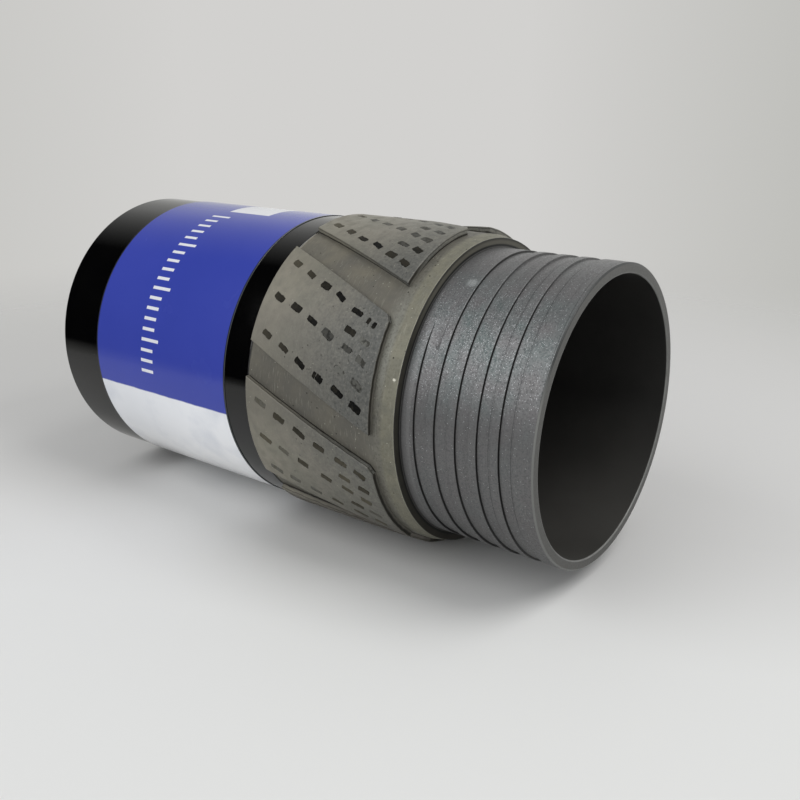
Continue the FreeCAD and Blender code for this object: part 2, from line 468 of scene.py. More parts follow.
def dress(inputs, colour, roughness, relief, depth, strength):
    """Gives the shader its colour, its roughness and a bump; depth is in millimetres."""
    bump = {"Height": relief, "Distance": depth * MM, "Strength": strength}
    bump = put(relief.tree, "ShaderNodeBump", bump)[0]
    feed(inputs, {"Base Color": colour, "Roughness": roughness, "Normal": bump})


# gloss paint: almost black, with a slight orange peel, wiped dull in places and a little dust
gloss_black, tree, inputs = finish("gloss_black_paint", Coat_Roughness=0.04, Specular_IOR_Level=0.5)
wiped_and_painted_light = patchy(tree, size=14, fineness=4, level=0.55, softness=0.2)["Mask"]
dust = speckled(tree, spacing=1.1, share=0.05, reach=0.12)
peel = patchy(tree, size=1.6, fineness=2)["Height"]
colour = laid(tint(wiped_and_painted_light, (1, 1, 2), (4, 4, 4)), (dust, (40, 40, 38)))
dress(inputs, colour, spread(wiped_and_painted_light, 0, 1, 0.05, 0.12), peel, 0.02, 0.35)

# sintered coat: olive grey metal powder, mottled, with pale and dark specks, duller in the waterways
sintered_coat, tree, inputs = finish("sintered_coat", Metallic=0.25, Specular_IOR_Level=0.35)
angle, height, _ = placed(tree)
broad = patchy(tree, size=9, fineness=5, softness=0.16)["Mask"]
cloud = patchy(tree, size=2.2, fineness=4, level=0.52, softness=0.14, shift=3)["Mask"]
grit = patchy(tree, size=0.6, fineness=3, level=0.57, softness=0.07, shift=35)
pale = speckled(tree, spacing=0.6, share=0.022, reach=0.3)
dark = speckled(tree, spacing=1.1, share=0.04, reach=0.26)
# painted shade: the coat is darker towards the lower side
lower_side = spread(angle, -8, 8, 0, 0.5)
before_ring = spread(height, pad_end - 3, pad_end + 1)
ring_front = spread(height, 137.4, 138.6)
# painted highlight along the lip's edge, broken up by the mottling
lip = spread(height, shoulder - 0.35, shoulder - 0.1)
# painted highlight: a lighter band on the ring's back where it faces the front lamp; the ring's back is also
# darker towards the top
painted_highlight_band = band(angle, (-32, -14), (0, 14))
ring_back = laid(
    tint(cloud, (113, 111, 102), (103, 102, 95)),
    (spread(angle, -30, -44, 0, 0.6), (94, 92, 85)),
    (painted_highlight_band, tint(cloud, (130, 130, 122), (122, 122, 114))),
)
# a bright chip on the ring
chip = away_from(tree, place(2.5, 44.9, 140.4)) + grit["Height"] * 2.6
colour = laid(
    tint(broad, (99, 97, 91), (117, 113, 101)),
    (cloud * 0.35, (92, 92, 86)),
    (lower_side, (91, 89, 83)),
    (before_ring, ring_back),
    (grit["Mask"] * before_ring * 0.5, (78, 77, 70)),
    (ring_front, tint(cloud, (121, 119, 105), (112, 111, 100))),
    (grit["Mask"] * ring_front * 0.3, (88, 87, 76)),
    (scratched(angle, height, across=2.4, around=0.3, level=0.6), (150, 148, 136)),
    (lip, tint(cloud, (132, 129, 114), (176, 174, 156))),
    (pale, (172, 170, 158)),
    (spread(chip, 1.85, 1.55), (208, 206, 193)),
    (dark, (40, 38, 34)),
)
grain = patchy(tree, size=0.5, fineness=4, shift=5)["Height"]
dress(inputs, colour, spread(cloud, 0, 1, 0.5, 0.62), grain - dark, 0.08, 0.6)

# shoulder: the stop face in front of the ring, stained dark brown by the phosphate bath, with painted light
# on its upper side, painted shade black in its corner by the pin and a painted highlight line at the pin's
# root
dark_shoulder, tree, inputs = finish("stained_shoulder", Metallic=0.3)
angle, _, radius = placed(tree)
stain = patchy(tree, size=3, fineness=4, softness=0.2, shift=7)
wiped_and_painted_light = spread(angle, -10, -30) * spread(radius, lip_r - 0.3, lip_r - 0.9)
inner_shade = spread(radius, pin_r + 1.1, pin_r + 0.8)
root = spread(radius, pin_r + 0.42, pin_r + 0.3)
colour = laid(tint(stain["Mask"], (44, 43, 37), (55, 53, 46)),
              (wiped_and_painted_light, (92, 90, 81)), (inner_shade, (14, 14, 14)), (root, (84, 84, 82)))
dress(inputs, colour, 0.55, stain["Height"], 0.05, 0.4)

# phosphate: matt grey crystals with blue-green blotches, a painted highlight band with painted glints, and
# painted shade black in the foot of the thread
phosphate, tree, inputs = finish("grey_phosphate", Metallic=0.4, Specular_IOR_Level=0.5)
angle, height, radius = placed(tree)
blotch = patchy(tree, size=8, fineness=3, level=0.52, softness=0.14, shift=11)["Mask"]
smoke = patchy(tree, size=3, fineness=4, softness=0.2, shift=13)["Mask"]
crystal = patchy(tree, size=0.45, fineness=2, softness=0.12, shift=17)
line = tooled(tree, pitch=0.55, waver=0.012)
# painted highlight: a lighter band round the side that faces the front lamp, fainter towards the nose; the
# teal and the grain are strongest in it
lit_side = band(angle, (-46, -26), (-12, 14)) * spread(height, 171, 177, 1, 0.6)
upper_side = spread(angle, -32, -50) * spread(height, 152, 158)
teal = blotch * (lit_side * 0.75 + 0.15)
turned_lines = spread(line, 0.52, 0.7) * (upper_side * 0.4 + 0.25)
grainy = lit_side * 0.6 + 0.4
# painted glints, most of them in the highlight band
glint = speckled(tree, spacing=0.2, share=lit_side * 0.125 + 0.015, reach=0.45)
# a rubbed spot by the shoulder, where the bath didn't take
rubbed_spot = away_from(tree, place(-39.5, pin_r, 149.2)) + crystal["Height"] * 2.4
# the turns of the thread, and the run from the rear edge of the groove
turns = (height - pin_first_flank) / thread_lead - angle / 360
run = (maths("FRACT", turns + 0.5) - 0.5) * thread_lead
# painted shade: a faint dark line along the edge of the groove's front flank
front_flank = band(run, (-2.5, -2.42), (-2.32, -2.2))
# the die's last mark, before the nose
die_mark = maths("COMPARE", run, -3.05, 0.09) * spread(turns, 3.5, 3.52)
# painted shade: the dark line in the foot of the groove, fainter on the upper side
foot = band(run, (-0.03, 0.03), (0.2, 0.28)) * (1.0 - upper_side * 0.5)
foot = foot * spread(radius, pin_r - 0.02, pin_r - 0.12)
# painted light: the first land by the shoulder is lighter, from the front round to the lower side
painted_light_first_land = spread(height, shoulder + 3.2, shoulder + 2.6) * spread(angle, -16, -2, 0, 0.4)
# painted shade: darker in the corner by the shoulder
painted_shade_by_shoulder = spread(height, shoulder + 0.6, shoulder + 0.1)
# the nose's end is a darker grey; a painted highlight runs along its edge at the bore, and its outer edge
# carries painted shade on the upper side and a painted highlight below
face = spread(height, nose - nose_chamfer * 1.1, nose - nose_chamfer * 0.9)
outer_edge = face * spread(radius, pin_r - 0.5, pin_r - 0.4)
inner_edge = face * spread(radius, bore_r + 0.5, bore_r + 0.35) * spread(smoke, 0, 1, 0.4, 1)
colour = laid(
    tint(lit_side, (101, 100, 100), (118, 117, 118)),
    (teal, (93, 113, 111)),
    (smoke * 0.4, (93, 91, 93)),
    (turned_lines, (80, 80, 81)),
    (crystal["Mask"] * grainy * 0.6, (130, 130, 131)),
    (spread(crystal["Height"], 0.46, 0.3, 0, 0.65) * grainy, (70, 70, 72)),
    (glint, (226, 229, 232)),
    (spread(rubbed_spot, 3, 2.2) * 0.6, (168, 172, 172)),
    (front_flank * 0.3, (66, 66, 66)),
    (die_mark * 0.6, (52, 53, 54)),
    (foot, (14, 14, 14)),
    (painted_light_first_land, (140, 140, 140)),
    (painted_shade_by_shoulder, (62, 62, 62)),
    (face, (90, 90, 88)),
    (outer_edge, tint(spread(angle, -14, 4), (56, 58, 58), (122, 123, 121))),
    (inner_edge, (130, 131, 129)),
)
relief = crystal["Height"] + line * 0.5
dress(inputs, colour, spread(crystal["Mask"], 0, 1, 0.5, 0.38), relief, 0.05, 0.6)

# bore: dark drawn steel with an oil film, with painted light on its lower side and painted shade on the rest
dark_bore, tree, inputs = finish("dark_bore", Metallic=0.2)
smear = patchy(tree, size=12, fineness=4, softness=0.25, shift=19)["Mask"]
colour = tint(smear, (50, 49, 48), (58, 57, 55))
below = maths("COSINE", maths("RADIANS", placed(tree)[0] - 118))
painted_shade_upper, painted_light_lower = tint(0.45, colour, (24, 24, 23)), tint(0.8, colour, (66, 65, 62))
colour = tint(spread(below, 0.3, 0.95), painted_shade_upper, painted_light_lower)
drawn = tooled(tree, pitch=1.2, waver=0.03)
dress(inputs, colour, spread(smear, 0, 1, 0.42, 0.55), drawn, 0.03, 0.3)

for material in (gloss_black, sintered_coat, dark_shoulder, phosphate, dark_bore):
    steel_shell.data.materials.append(material)
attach(steel_shell, "root")
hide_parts("shell_body")


# Pads and their hard bars
# Seven pads of tungsten matrix, sintered on the seat in a mould and ground round. They lean to the right by
# the helix angle, with waterways between them. Each holds its bars in pockets of their own: four columns of
# three and, by the front, two columns of five.
pad_count = 7
pad_phase = -19.3
helix = math.radians(22.0)
pad_height = 1.8
pad_r = seat_r + pad_height
waterway = 10.0
corner_clip = 1.5
bar_length = 4.0
bar_width = 1.7
bar_bed = 0.4
bar_top = pad_height + 0.02
rows, plain_columns, crowded_columns = 3, 4, 2
rear_margin, front_margin, front_pitch, side_margin = 6.2, 4.75, 5.95, 4.8
pad_pitch = 360 / pad_count
pad_width = pad_r * math.radians(pad_pitch) - waterway * pad_r / seat_r
pad_length = pad_end - pad_start


def tree_with(name, inputs):
    """A geometry tree with named inputs, each a number, a word or a material."""
    tree = bpy.data.node_groups.new(name, "GeometryNodeTree")
    tree.interface.new_socket("Geometry", in_out="INPUT", socket_type="NodeSocketGeometry")
    for socket, value in inputs.items():
        kind = {float: "NodeSocketFloat", str: "NodeSocketString"}.get(type(value), "NodeSocketMaterial")
        made = tree.interface.new_socket(socket, in_out="INPUT", socket_type=kind)
        if value is not None:
            made.default_value = value
    tree.interface.new_socket("Geometry", in_out="OUTPUT", socket_type="NodeSocketGeometry")
    return tree, put(tree, "NodeGroupInput"), tree.nodes.new("NodeGroupOutput").inputs[0]


def use(tree, group, inputs):
    """One geometry tree used inside another."""
    return put(tree, "GeometryNodeGroup", inputs, node_tree=group)[0]


def named(tree, name, kind="FLOAT"):
    """An attribute of the geometry."""
    return put(tree, "GeometryNodeInputNamedAttribute", {"Name": name}, data_type=kind)[0]


def position(tree):
    return axes_of(put(tree, "GeometryNodeInputPosition")[0])


def moved(geometry, **how):
    """A geometry with its points moved by an Offset or to a Position."""
    return put(geometry.tree, "GeometryNodeSetPosition", {"Geometry": geometry, **how})[0]


def together(*parts):
    """Geometries joined into one."""
    joined = put(parts[0].tree, "GeometryNodeJoinGeometry")
    for part in parts:
        part.into(joined.node.inputs[0])
    return joined[0]


def bar_blocks(tree, given, others):
    """The blocks of a pad's bars, or of the pockets that they sit in."""
    inputs = {size: given["Bar " + size] for size in ("Length", "Width", "Bed", "Top")}
    inputs.update({"Geometry": given["Geometry"], "Lean": given["Helix Angle"], "Seed": given["Seed"]})
    return use(tree, blocks, {**inputs, **others})


def finished(tree, flat, given):
    """The flat work wrapped round the shell, in its finish."""
    wrapped = use(tree, wrap, {"Geometry": flat, "Start Angle": given["Start Angle"]})
    return put(tree, "GeometryNodeSetMaterial", {"Geometry": wrapped, "Material": given["Finish"]})[0]


# blocks set on points of the flat, from a bed to a top, with ragged outlines and rounded corners
blocks, given, made = tree_with("ragged_blocks", {
    "Length": 0.004, "Width": 0.0017, "Bed": 0.0, "Top": 0.002, "Clearance": 0.0, "Lean": 0.4,
    "Ragged": 0.0012, "Seed": 0.0, "Share Name": "share",
})
twice = given["Clearance"] * 2.0
tall = given["Top"] - given["Bed"]
block = put(blocks, "GeometryNodeMeshCube", {
    "Size": vector(blocks, given["Width"] + twice, given["Length"] + twice, tall),
    "Vertices X": 5, "Vertices Y": 9, "Vertices Z": 3,
})["Mesh"]
axes = position(blocks)
corner = maths("ABSOLUTE", axes["X"] * axes["Y"] / (given["Width"] * given["Length"]))
pull = maths("POWER", corner * 4.0, 4.0) * -0.05
block = moved(block, Offset=vector(blocks, axes["X"] * pull, axes["Y"] * pull))
set_blocks = put(blocks, "GeometryNodeInstanceOnPoints", {
    "Points": given["Geometry"], "Instance": block,
    "Rotation": vector(blocks, 0.0, 0.0, named(blocks, "twist") - given["Lean"]),
    "Scale": named(blocks, given["Share Name"], "FLOAT_VECTOR"),
})[0]
joined = put(blocks, "GeometryNodeRealizeInstances", {0: set_blocks})[0]
stray = noisy(blocks, "4D", W=given["Seed"], Scale=1000.0, Detail=3.0)["Color"]
stray = vector_maths("SUBTRACT", stray, (0.5, 0.5, 0.5))
reach = given["Ragged"]
stray = vector_maths("MULTIPLY", stray, vector(blocks, reach, reach, reach * 0.1))
middle = given["Bed"] + tall * 0.5 + named(blocks, "sink")
moved(joined, Offset=vector_maths("ADD", stray, vector(blocks, 0.0, 0.0, middle))).into(made)

# the flat wrapped round the shell: X runs round the pads' radius, Y up the shell and Z out from the seat
wrap, given, made = tree_with("wrap_round_the_shell", {
    "Seat Radius": seat_r * MM, "Pad Radius": pad_r * MM, "Start Height": pad_start * MM, "Start Angle": 0.0,
})
axes = position(wrap)
around = given["Start Angle"] + axes["X"] / given["Pad Radius"]
radius = given["Seat Radius"] + axes["Z"]
wrapped = vector(wrap, radius * maths("SINE", around), radius * -maths("COSINE", around),
                 given["Start Height"] + axes["Y"])
moved(given["Geometry"], Position=wrapped).into(made)

shared = {
    "Length": pad_length * MM, "Width": pad_width * MM, "Height": pad_height * MM, "Helix Angle": helix,
    "Start Angle": 0.0, "Bar Length": bar_length * MM, "Bar Width": bar_width * MM, "Bar Bed": bar_bed * MM,
    "Bar Top": bar_top * MM, "Seed": 0.0, "Finish": None,
}

# hard bars
bars, given, made = tree_with("hard_bars", shared)
finished(bars, bar_blocks(bars, given, {"Share Name": "bar_share"}), given).into(made)


def gathered(along, length):
    """A position from 0 to the length, with the grid's lines gathered towards both ends."""
    share = along / length + 0.5
    return (share - maths("SINE", share * math.tau) * (0.75 / math.tau)) * length


# a pad: a slab leaning up the helix, less its pockets and its front corner, with its edges rubbed down
pads, given, made = tree_with("sintered_pad", {
    **shared, "Pocket Clearance": 0.06 * MM, "Corner Clip": corner_clip * MM, "Edge Wear": 0.3 * MM,
    "Dent Depth": 0.07 * MM,
})
sheet = put(pads, "GeometryNodeMeshGrid", {
    "Size X": given["Width"], "Size Y": given["Length"], "Vertices X": 92, "Vertices Y": 122})["Mesh"]
axes = position(pads)
slope = maths("TANGENT", given["Helix Angle"])
up = gathered(axes["Y"], given["Length"])
foot = moved(sheet, Position=vector(pads, gathered(axes["X"], given["Width"]) + up * slope, up))
raised = put(pads, "GeometryNodeExtrudeMesh", {
    "Mesh": foot, "Offset": (0.0, 0.0, 1.0), "Offset Scale": given["Height"], "Individual": False,
})["Mesh"]
slab = together(put(pads, "GeometryNodeFlipFaces", {0: foot})[0], raised)
slab = put(pads, "GeometryNodeMergeByDistance", {"Geometry": slab, "Distance": 0.001 * MM})[0]
pockets = bar_blocks(pads, given, {
    "Top": given["Bar Top"] + 1.0 * MM, "Clearance": given["Pocket Clearance"]})
# the corner's cutter lies half-way between the pad's side and its front
clip_lean = given["Helix Angle"] * 0.5 + math.radians(45)
clip_size = given["Corner Clip"] * 3.0
half_clip = given["Corner Clip"] * 0.5
half_cutter = clip_size * 0.5
clip_x = given["Length"] * slope + half_clip - half_clip * slope - maths("COSINE", clip_lean) * half_cutter
clip_y = given["Length"] - half_clip + maths("SINE", clip_lean) * half_cutter
cutter = put(pads, "GeometryNodeTransform", {
    "Geometry": put(pads, "GeometryNodeMeshCube", {
        "Size": vector(pads, clip_size, clip_size * 2.0, 10.0 * MM)})["Mesh"],
    "Translation": vector(pads, clip_x, clip_y), "Rotation": vector(pads, 0.0, 0.0, -clip_lean),
})[0]
cut = put(pads, "GeometryNodeMeshBoolean", {"Mesh 1": slab, "Mesh 2": together(pockets, cutter)},
          operation="DIFFERENCE", solver="MANIFOLD")[0]
axes = position(pads)
in_pad = axes["X"] - axes["Y"] * slope
to_side = maths("MINIMUM", in_pad, given["Width"] - in_pad)
to_end = maths("MINIMUM", axes["Y"], given["Length"] - axes["Y"])
inset = maths("MAXIMUM", 1.0 - maths("MINIMUM", to_side, to_end) / given["Edge Wear"], 0.0)
rubbed = 1.0 - maths("SQRT", 1.0 - maths("MINIMUM", inset * inset, 1.0))
dents = noisy(pads, "4D", W=given["Seed"], Scale=330.0, Detail=4.0)[0]
lowered = rubbed * given["Edge Wear"] + spread(dents, 0.5, 0.8) * given["Dent Depth"]
on_top = maths("GREATER_THAN", axes["Z"], given["Height"] * 0.999)
worn = moved(cut, Selection=on_top, Offset=vector(pads, 0.0, 0.0, -lowered))
finished(pads, worn, given).into(made)

# how far the bars stray across and along, what they may lack of their width and length, and how they sit
stray_across, stray_along = 0.3, 0.4
short_width, short_length = 0.2, 0.14
most_sink, most_twist = 0.1, 0.12
chip_sink, smeared_sink = 0.12, 0.03
mostly = 0.3                # smeared over more than this, a bar lies level and fills its pocket
smeared_gain = Vector((0.09, 0.045, 0))
# rows that were set a little out of line, in millimetres across and along
drifted_rows = {(0, 2): (-0.75, 0.35), (1, 2): (-0.4, -0.8), (1, 4): (-0.2, -0.9)}
# on the pad in front, two chips are left of one bar and another is split: each part's place and length
broken_bars = {(0, 5): ((-0.3, 0.32), (0.28, 0.34)), (4, 3): ((-0.33, 0.3), (0.18, 0.62))}
# bars that matrix is smeared over, by pad, row and column: all of it or a share
smeared_bars = {
    (0, 2, 3): 0.35, (0, 2, 4): 0.35, (0, 2, 5): 0.6, (0, 1, 5): 0.85, (0, 3, 4): 0.85, (0, 3, 5): 0.6,
    (1, 0, 0): 0.5, (1, 2, 1): 0.4, (1, 4, 0): 0.6, (1, 4, 1): 0.7, (1, 4, 2): 0.6, (1, 3, 5): 0.5,
    (6, 0, 3): 0.4, (6, 0, 4): 0.5, (6, 0, 5): 0.6, (6, 1, 4): 0.5, (6, 1, 5): 0.5, (6, 2, 1): 0.6,
    (6, 2, 2): 0.5, (6, 2, 3): 0.45, (6, 2, 4): 0.4, (6, 2, 5): 0.4, (6, 3, 4): 0.35,
}


def bar_points(pad):
    """The places of a pad's bars on the flat, as points that carry each bar's share of the full size,
    its sink and its twist."""
    row_pitch = (pad_width - 2 * side_margin) / (rows - 1)
    last = pad_length - front_margin
    before_last = last - front_pitch
    heights = [rear_margin + (before_last - rear_margin) * step / plain_columns
               for step in range(plain_columns)] + [before_last, last]
    lean = Vector((math.sin(helix), math.cos(helix), 0))
    spots = []
    for column, up in enumerate(heights):
        crowded = column >= len(heights) - crowded_columns
        for step in range(2 * rows - 1 if crowded else rows):
            row = step if crowded else step * 2
            chance = [noise.cell(Vector((pad * 7.3, column * 3.1, row * 1.7 + axis))) for axis in range(6)]
            across, along = drifted_rows.get((pad, row), (0, 0)) if column else (0, 0)
            across += stray_across * (chance[4] - 0.5)
            along += stray_along * (chance[5] - 0.5)
            over = side_margin + row * row_pitch / 2 + across + (up + along) * math.tan(helix)
            spot = Vector((over, up + along, 0))
            share = Vector((1 - short_width * chance[0], 1 - short_length * chance[1], 1))
            sink, twist = -most_sink * chance[2], most_twist * (chance[3] - 0.5)
            smear = smeared_bars.get((pad, row, column), 0.0)
            if pad == 0 and (row, column) in broken_bars:
                for end, part in broken_bars[row, column]:
                    chip = Vector((share.x, part, 1))
                    spots.append((spot + lean * end * bar_length, chip, sink - chip_sink, twist, 0.0))
            else:
                spots.append((spot, share, -smeared_sink if smear > mostly else sink, twist, smear))
    mesh = bpy.data.meshes.new("bar_points")
    mesh.from_pydata([tuple(spot * MM) for spot, *_ in spots], [], [])
    bar_shares = [share + smeared_gain if smear > mostly else share for _, share, *_, smear in spots]
    for name, kind, field, worth in (
        ("share", "FLOAT_VECTOR", "vector", [tuple(share) for _, share, *_ in spots]),
        ("bar_share", "FLOAT_VECTOR", "vector", [tuple(share) for share in bar_shares]),
        ("sink", "FLOAT", "value", [sink * MM for _, _, sink, *_ in spots]),
        ("twist", "FLOAT", "value", [twist for *_, twist, _ in spots]),
        ("smear", "FLOAT", "value", [smear for *_, smear in spots]),
        ("tone", "FLOAT", "value", [noise.cell(spot * 9.7) for spot, *_ in spots]),
    ):
        attribute = mesh.attributes.new(name, kind, "POINT")
        for item, value in zip(attribute.data, worth):
            setattr(item, field, value)
    return mesh


def grown(name, points, tree, values):
    """A tree run on points, as a plain mesh in a new object."""
    carrier = bpy.data.objects.new(name, points)
    scene.collection.objects.link(carrier)
    modifier = carrier.modifiers.new("grow", "NODES")
    modifier.node_group = tree
    for item in tree.interface.items_tree:
        if item.in_out == "INPUT" and item.name in values:
            modifier[item.identifier] = values[item.name]
    mesh = bpy.data.meshes.new_from_object(carrier.evaluated_get(bpy.context.evaluated_depsgraph_get()))
    carrier.modifiers.clear()
    carrier.data = mesh
    mesh.name = name
    mesh.shade_smooth()
    return carrier


# matrix of the pads: like the coat, ground a little smoother, darker and pitted towards the front, where it
# runs hardest, and black at the foot of its walls with grime and painted shade
pad_matrix, tree, inputs = finish("pad_matrix", Metallic=0.25, Specular_IOR_Level=0.35)
angle, height, radius = placed(tree)
broad = patchy(tree, size=11, fineness=5, softness=0.12, shift=23)["Mask"]
cloud = patchy(tree, size=2.6, fineness=5, level=0.55, softness=0.12, shift=29)
uneven = patchy(tree, size=16, fineness=4, softness=0.2, shift=31)["Mask"]
rough = patchy(tree, size=1.1, fineness=6, shift=33)
grit = patchy(tree, size=0.6, fineness=3, level=0.57, softness=0.07, shift=35)
# painted shade: darker across the side that faces the front lamp
shaded = band(angle, (-19, -9), (24, 36))
hard_run = spread(height, 98, 130) * spread(uneven, 0, 1, 0.6, 1)
hard_run = hard_run * spread(angle, -54, -34, 0.55, 1) * spread(angle, 20, 44, 1, 0.7)
pale = speckled(tree, spacing=0.55, share=0.02, reach=0.32)
dark = speckled(tree, spacing=0.9, share=hard_run * 0.14, reach=0.34)
# painted shade: darker on the side that it lies on
under = band(angle, (60, 76), (145, 165))
# painted shade: a fine dark crease under the edge of the face, and another at the foot of the walls, where
# grime lies too
level = radius + (cloud["Height"] - 0.5) * 0.8
crease = band(level, (pad_r - 0.62, pad_r - 0.52), (pad_r - 0.35, pad_r - 0.25))
dark_line = maths("MAXIMUM", crease * 0.75, spread(level, seat_r + 0.55, seat_r + 0.35))
# the front walls run into the coat, with the painted shade line by their upper edge
front_wall = spread(height, pad_end - 0.12, pad_end - 0.05) * spread(angle, -42, -34)
upper_line = band(level, (pad_r - 1.35, pad_r - 0.85), (pad_r - 0.3, pad_r - 0.1))
dark_line = put(tree, "ShaderNodeMix", {0: front_wall, 2: dark_line, 3: upper_line})[0]
colour = laid(
    tint(broad, (138, 134, 122), (128, 126, 114)),
    (cloud["Mask"] * 0.4, (108, 105, 98)),
    (shaded * 0.55, (111, 108, 100)),
    (hard_run, (97, 98, 95)),
    (scratched(angle, height, across=3, around=0.25, level=0.62), (146, 143, 133)),
    (pale, (166, 164, 152)),
    (dark * 0.7, (50, 48, 44)),
    (rough["Mask"] * (hard_run * 0.4), (74, 76, 76)),
    (grit["Mask"] * hard_run * 0.5, (64, 64, 62)),
    (spread(grit["Height"], 0.42, 0.34, 0, 0.35) * hard_run, (142, 141, 134)),
    (under * 0.85, (80, 76, 70)),
    (front_wall, (104, 102, 95)),
    (dark_line, (40, 38, 33)),
)
relief = patchy(tree, size=0.45, fineness=4, shift=37)["Height"] + rough["Height"] - dark
dress(inputs, colour, spread(cloud["Mask"], 0, 1, 0.46, 0.6), relief, 0.08, 0.6)

# hard bars: dark brown, almost black, crusted with a little matrix and paler to the rear, with painted light
# and sheen making them lighter on the upper pads and below the middle
hard_bar, tree, inputs = finish("hard_bar", Specular_IOR_Level=0.1)
angle, height, _ = placed(tree)
crust = patchy(tree, size=0.9, fineness=4, level=0.6, softness=0.08, shift=41)
cover = patchy(tree, size=1.3, fineness=3, level=0.47, softness=0.05, shift=43)["Mask"]
# painted light and sheen: the bars are lighter on the upper side and below the middle of the round
upper = spread(angle, -36, -52) * spread(height, 130, 94, 0, 0.45)
tone = put(tree, "ShaderNodeAttribute", attribute_name="tone")["Fac"] * 0.25
tone = tone + spread(height, 110, 94, 0, 0.5) + spread(angle, 12, 35, 0, 0.72) + upper
smeared = put(tree, "ShaderNodeAttribute", attribute_name="smear")["Fac"]
colour = laid(
    tint(tone, (9, 9, 8), (82, 78, 66)),
    (crust["Mask"] * 0.35, (62, 59, 50)),
    (smeared * spread(cover, 0, 1, 0.45, 1.15), (100, 100, 95)),
)
dress(inputs, colour, spread(crust["Mask"], 0, 1, 0.5, 0.75), crust["Height"], 0.1, 0.6)

for pad in range(pad_count):
    start = math.radians(pad_phase + pad * pad_pitch) - pad_width / pad_r / 2
    points = bar_points(pad)
    number = str(pad + 1)
    for name, tree, material, sharp, node, slot in (
        ("sintered_pad_", pads, pad_matrix, 38, "pad_", "pad_matrix"),
        ("hard_bars_", bars, hard_bar, 50, "inserts_", "hard_insert"),
    ):
        values = {"Start Angle": start, "Seed": 3.7 * pad, "Finish": material}
        piece = grown(name + number, points.copy(), tree, values)
        piece.data.set_sharp_from_angle(angle=math.radians(sharp))
        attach(piece, "root")
        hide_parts(node + number)


# Wrap label
# A printed plastic film, stuck round the barrel with its ends nearly meeting at the back. A clear margin
# is left along its edges, and a plain row of scale marks and a plain white field are printed on the blue.
label_low, label_high = (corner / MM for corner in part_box("label"))
label_start, label_end = label_low.z, label_high.z
label_r = label_high.x
film = 0.15
film_gap = 2.0
film_columns = 300
film_row = 2.0
film_edge = film * 0.3
gap_angle = math.degrees(film_gap / body_r)

film_rows = round((label_end - label_start) / film_row)
sleeve = bmesh.new()
heights = [label_start, label_start + film_edge] + [
    label_start + (label_end - label_start) * row / film_rows for row in range(1, film_rows)
] + [label_end - film_edge, label_end]
section = [(label_r - film, height) for height in reversed(heights)]
section += [(label_r - film_edge if height in (label_start, label_end) else label_r, height)
            for height in heights]
loops = []
for column in range(film_columns + 1):
    angle = -180 + gap_angle / 2 + (360 - gap_angle) * column / film_columns
    loops.append([sleeve.verts.new(place(angle, radius, height)) for radius, height in section])
for loop, following in zip(loops, loops[1:]):
    for index in range(len(section)):
        after = (index + 1) % len(section)
        sleeve.faces.new((loop[index], following[index], following[after], loop[after]))
for loop in (loops[0], loops[-1]):
    for index in range(len(heights) - 1):
        mirror = len(section) - 1 - index
        sleeve.faces.new((loop[index], loop[index + 1], loop[mirror - 1], loop[mirror]))
bmesh.ops.recalc_face_normals(sleeve, faces=sleeve.faces)
wrap_label = as_object("wrap_label", sleeve, 35)


def between(value, low, high, soft):
    """1 between two limits and 0 outside them, with soft edges."""
    return band(value, (low - soft, low + soft), (high - soft, high + soft))


printed_film, tree, inputs = finish("printed_film", Coat_Roughness=0.08, Coat_Weight=0.65,
                                    Specular_IOR_Level=0.05)
angle, height, _ = placed(tree)
wobble = patchy(tree, size=5, fineness=2, shift=47)["Height"]
ink = patchy(tree, size=30, fineness=3, softness=0.2, shift=51)["Mask"]
smudge = patchy(tree, size=13, fineness=6, level=0.6, softness=0.12, shift=53)["Mask"]
inked = angle + (wobble - 0.5) * 0.6
white_start, white_end = 30.5, 150.0
# painted light: the white is lighter towards the lower side; above, it is greyer towards the rear
rearward = spread(height, 62, 32, 0, 0.35) * spread(inked, 60, 50)
white = laid(tint(spread(inked, 36, 62), (237, 239, 243), (247, 248, 250)),
             (smudge * 0.38, (178, 186, 202)), (rearward, (206, 209, 215)))
# scale marks: short ticks with a longer one at every fifth
tick_pitch = 4.15
tick_share = 0.32
short_tick, long_tick = 5.6, 8.0
ticks_start, ticks_end, ticks_foot = -54.0, 22.5, 42.0
tick_count = (angle - ticks_start) / tick_pitch
phase = maths("FRACT", tick_count)
fifth = maths("LESS_THAN", maths("FRACT", tick_count / 5), 0.2)
tick_top = fifth * (long_tick - short_tick) + (ticks_foot + short_tick)
in_tick = spread(phase, tick_share + 0.03, tick_share - 0.03) * spread(phase, 0, 0.04)
in_tick = in_tick * spread(height, ticks_foot - 0.1, ticks_foot + 0.1)
in_tick = in_tick * maths("LESS_THAN", height, tick_top)
in_tick = in_tick * between(angle, ticks_start, ticks_end, 0.05)
# the plain white field at the top, and the clear margin with its pale cut edge
field_mask = between(angle, -80, -59.5, 0.15) * between(height, 45, 63, 0.12)
clear_margin, cut_edge = 0.5, 0.07
margin = 1.0 - between(height, label_start + clear_margin, label_end - clear_margin, 0.1)
rim = 1.0 - between(height, label_start + cut_edge, label_end - cut_edge, 0.03)
colour = laid(
    tint(ink, (54, 67, 160), (59, 71, 165)),
    (between(inked, white_start, white_end, 0.25), white),
    (maths("MAXIMUM", in_tick, field_mask), (222, 224, 230)),
    (margin, (40, 42, 46)),
    (rim * 0.3, (140, 148, 150)),
)
rubbed = patchy(tree, size=20, fineness=5, level=0.55, softness=0.2, shift=57)["Mask"]
slack = patchy(tree, size=9, fineness=1, shift=59)["Height"]
dress(inputs, colour, spread(rubbed, 0, 1, 0.2, 0.3), slack, 0.05, 0.25)

wrap_label.data.materials.append(printed_film)
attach(wrap_label, "root")
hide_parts("label")


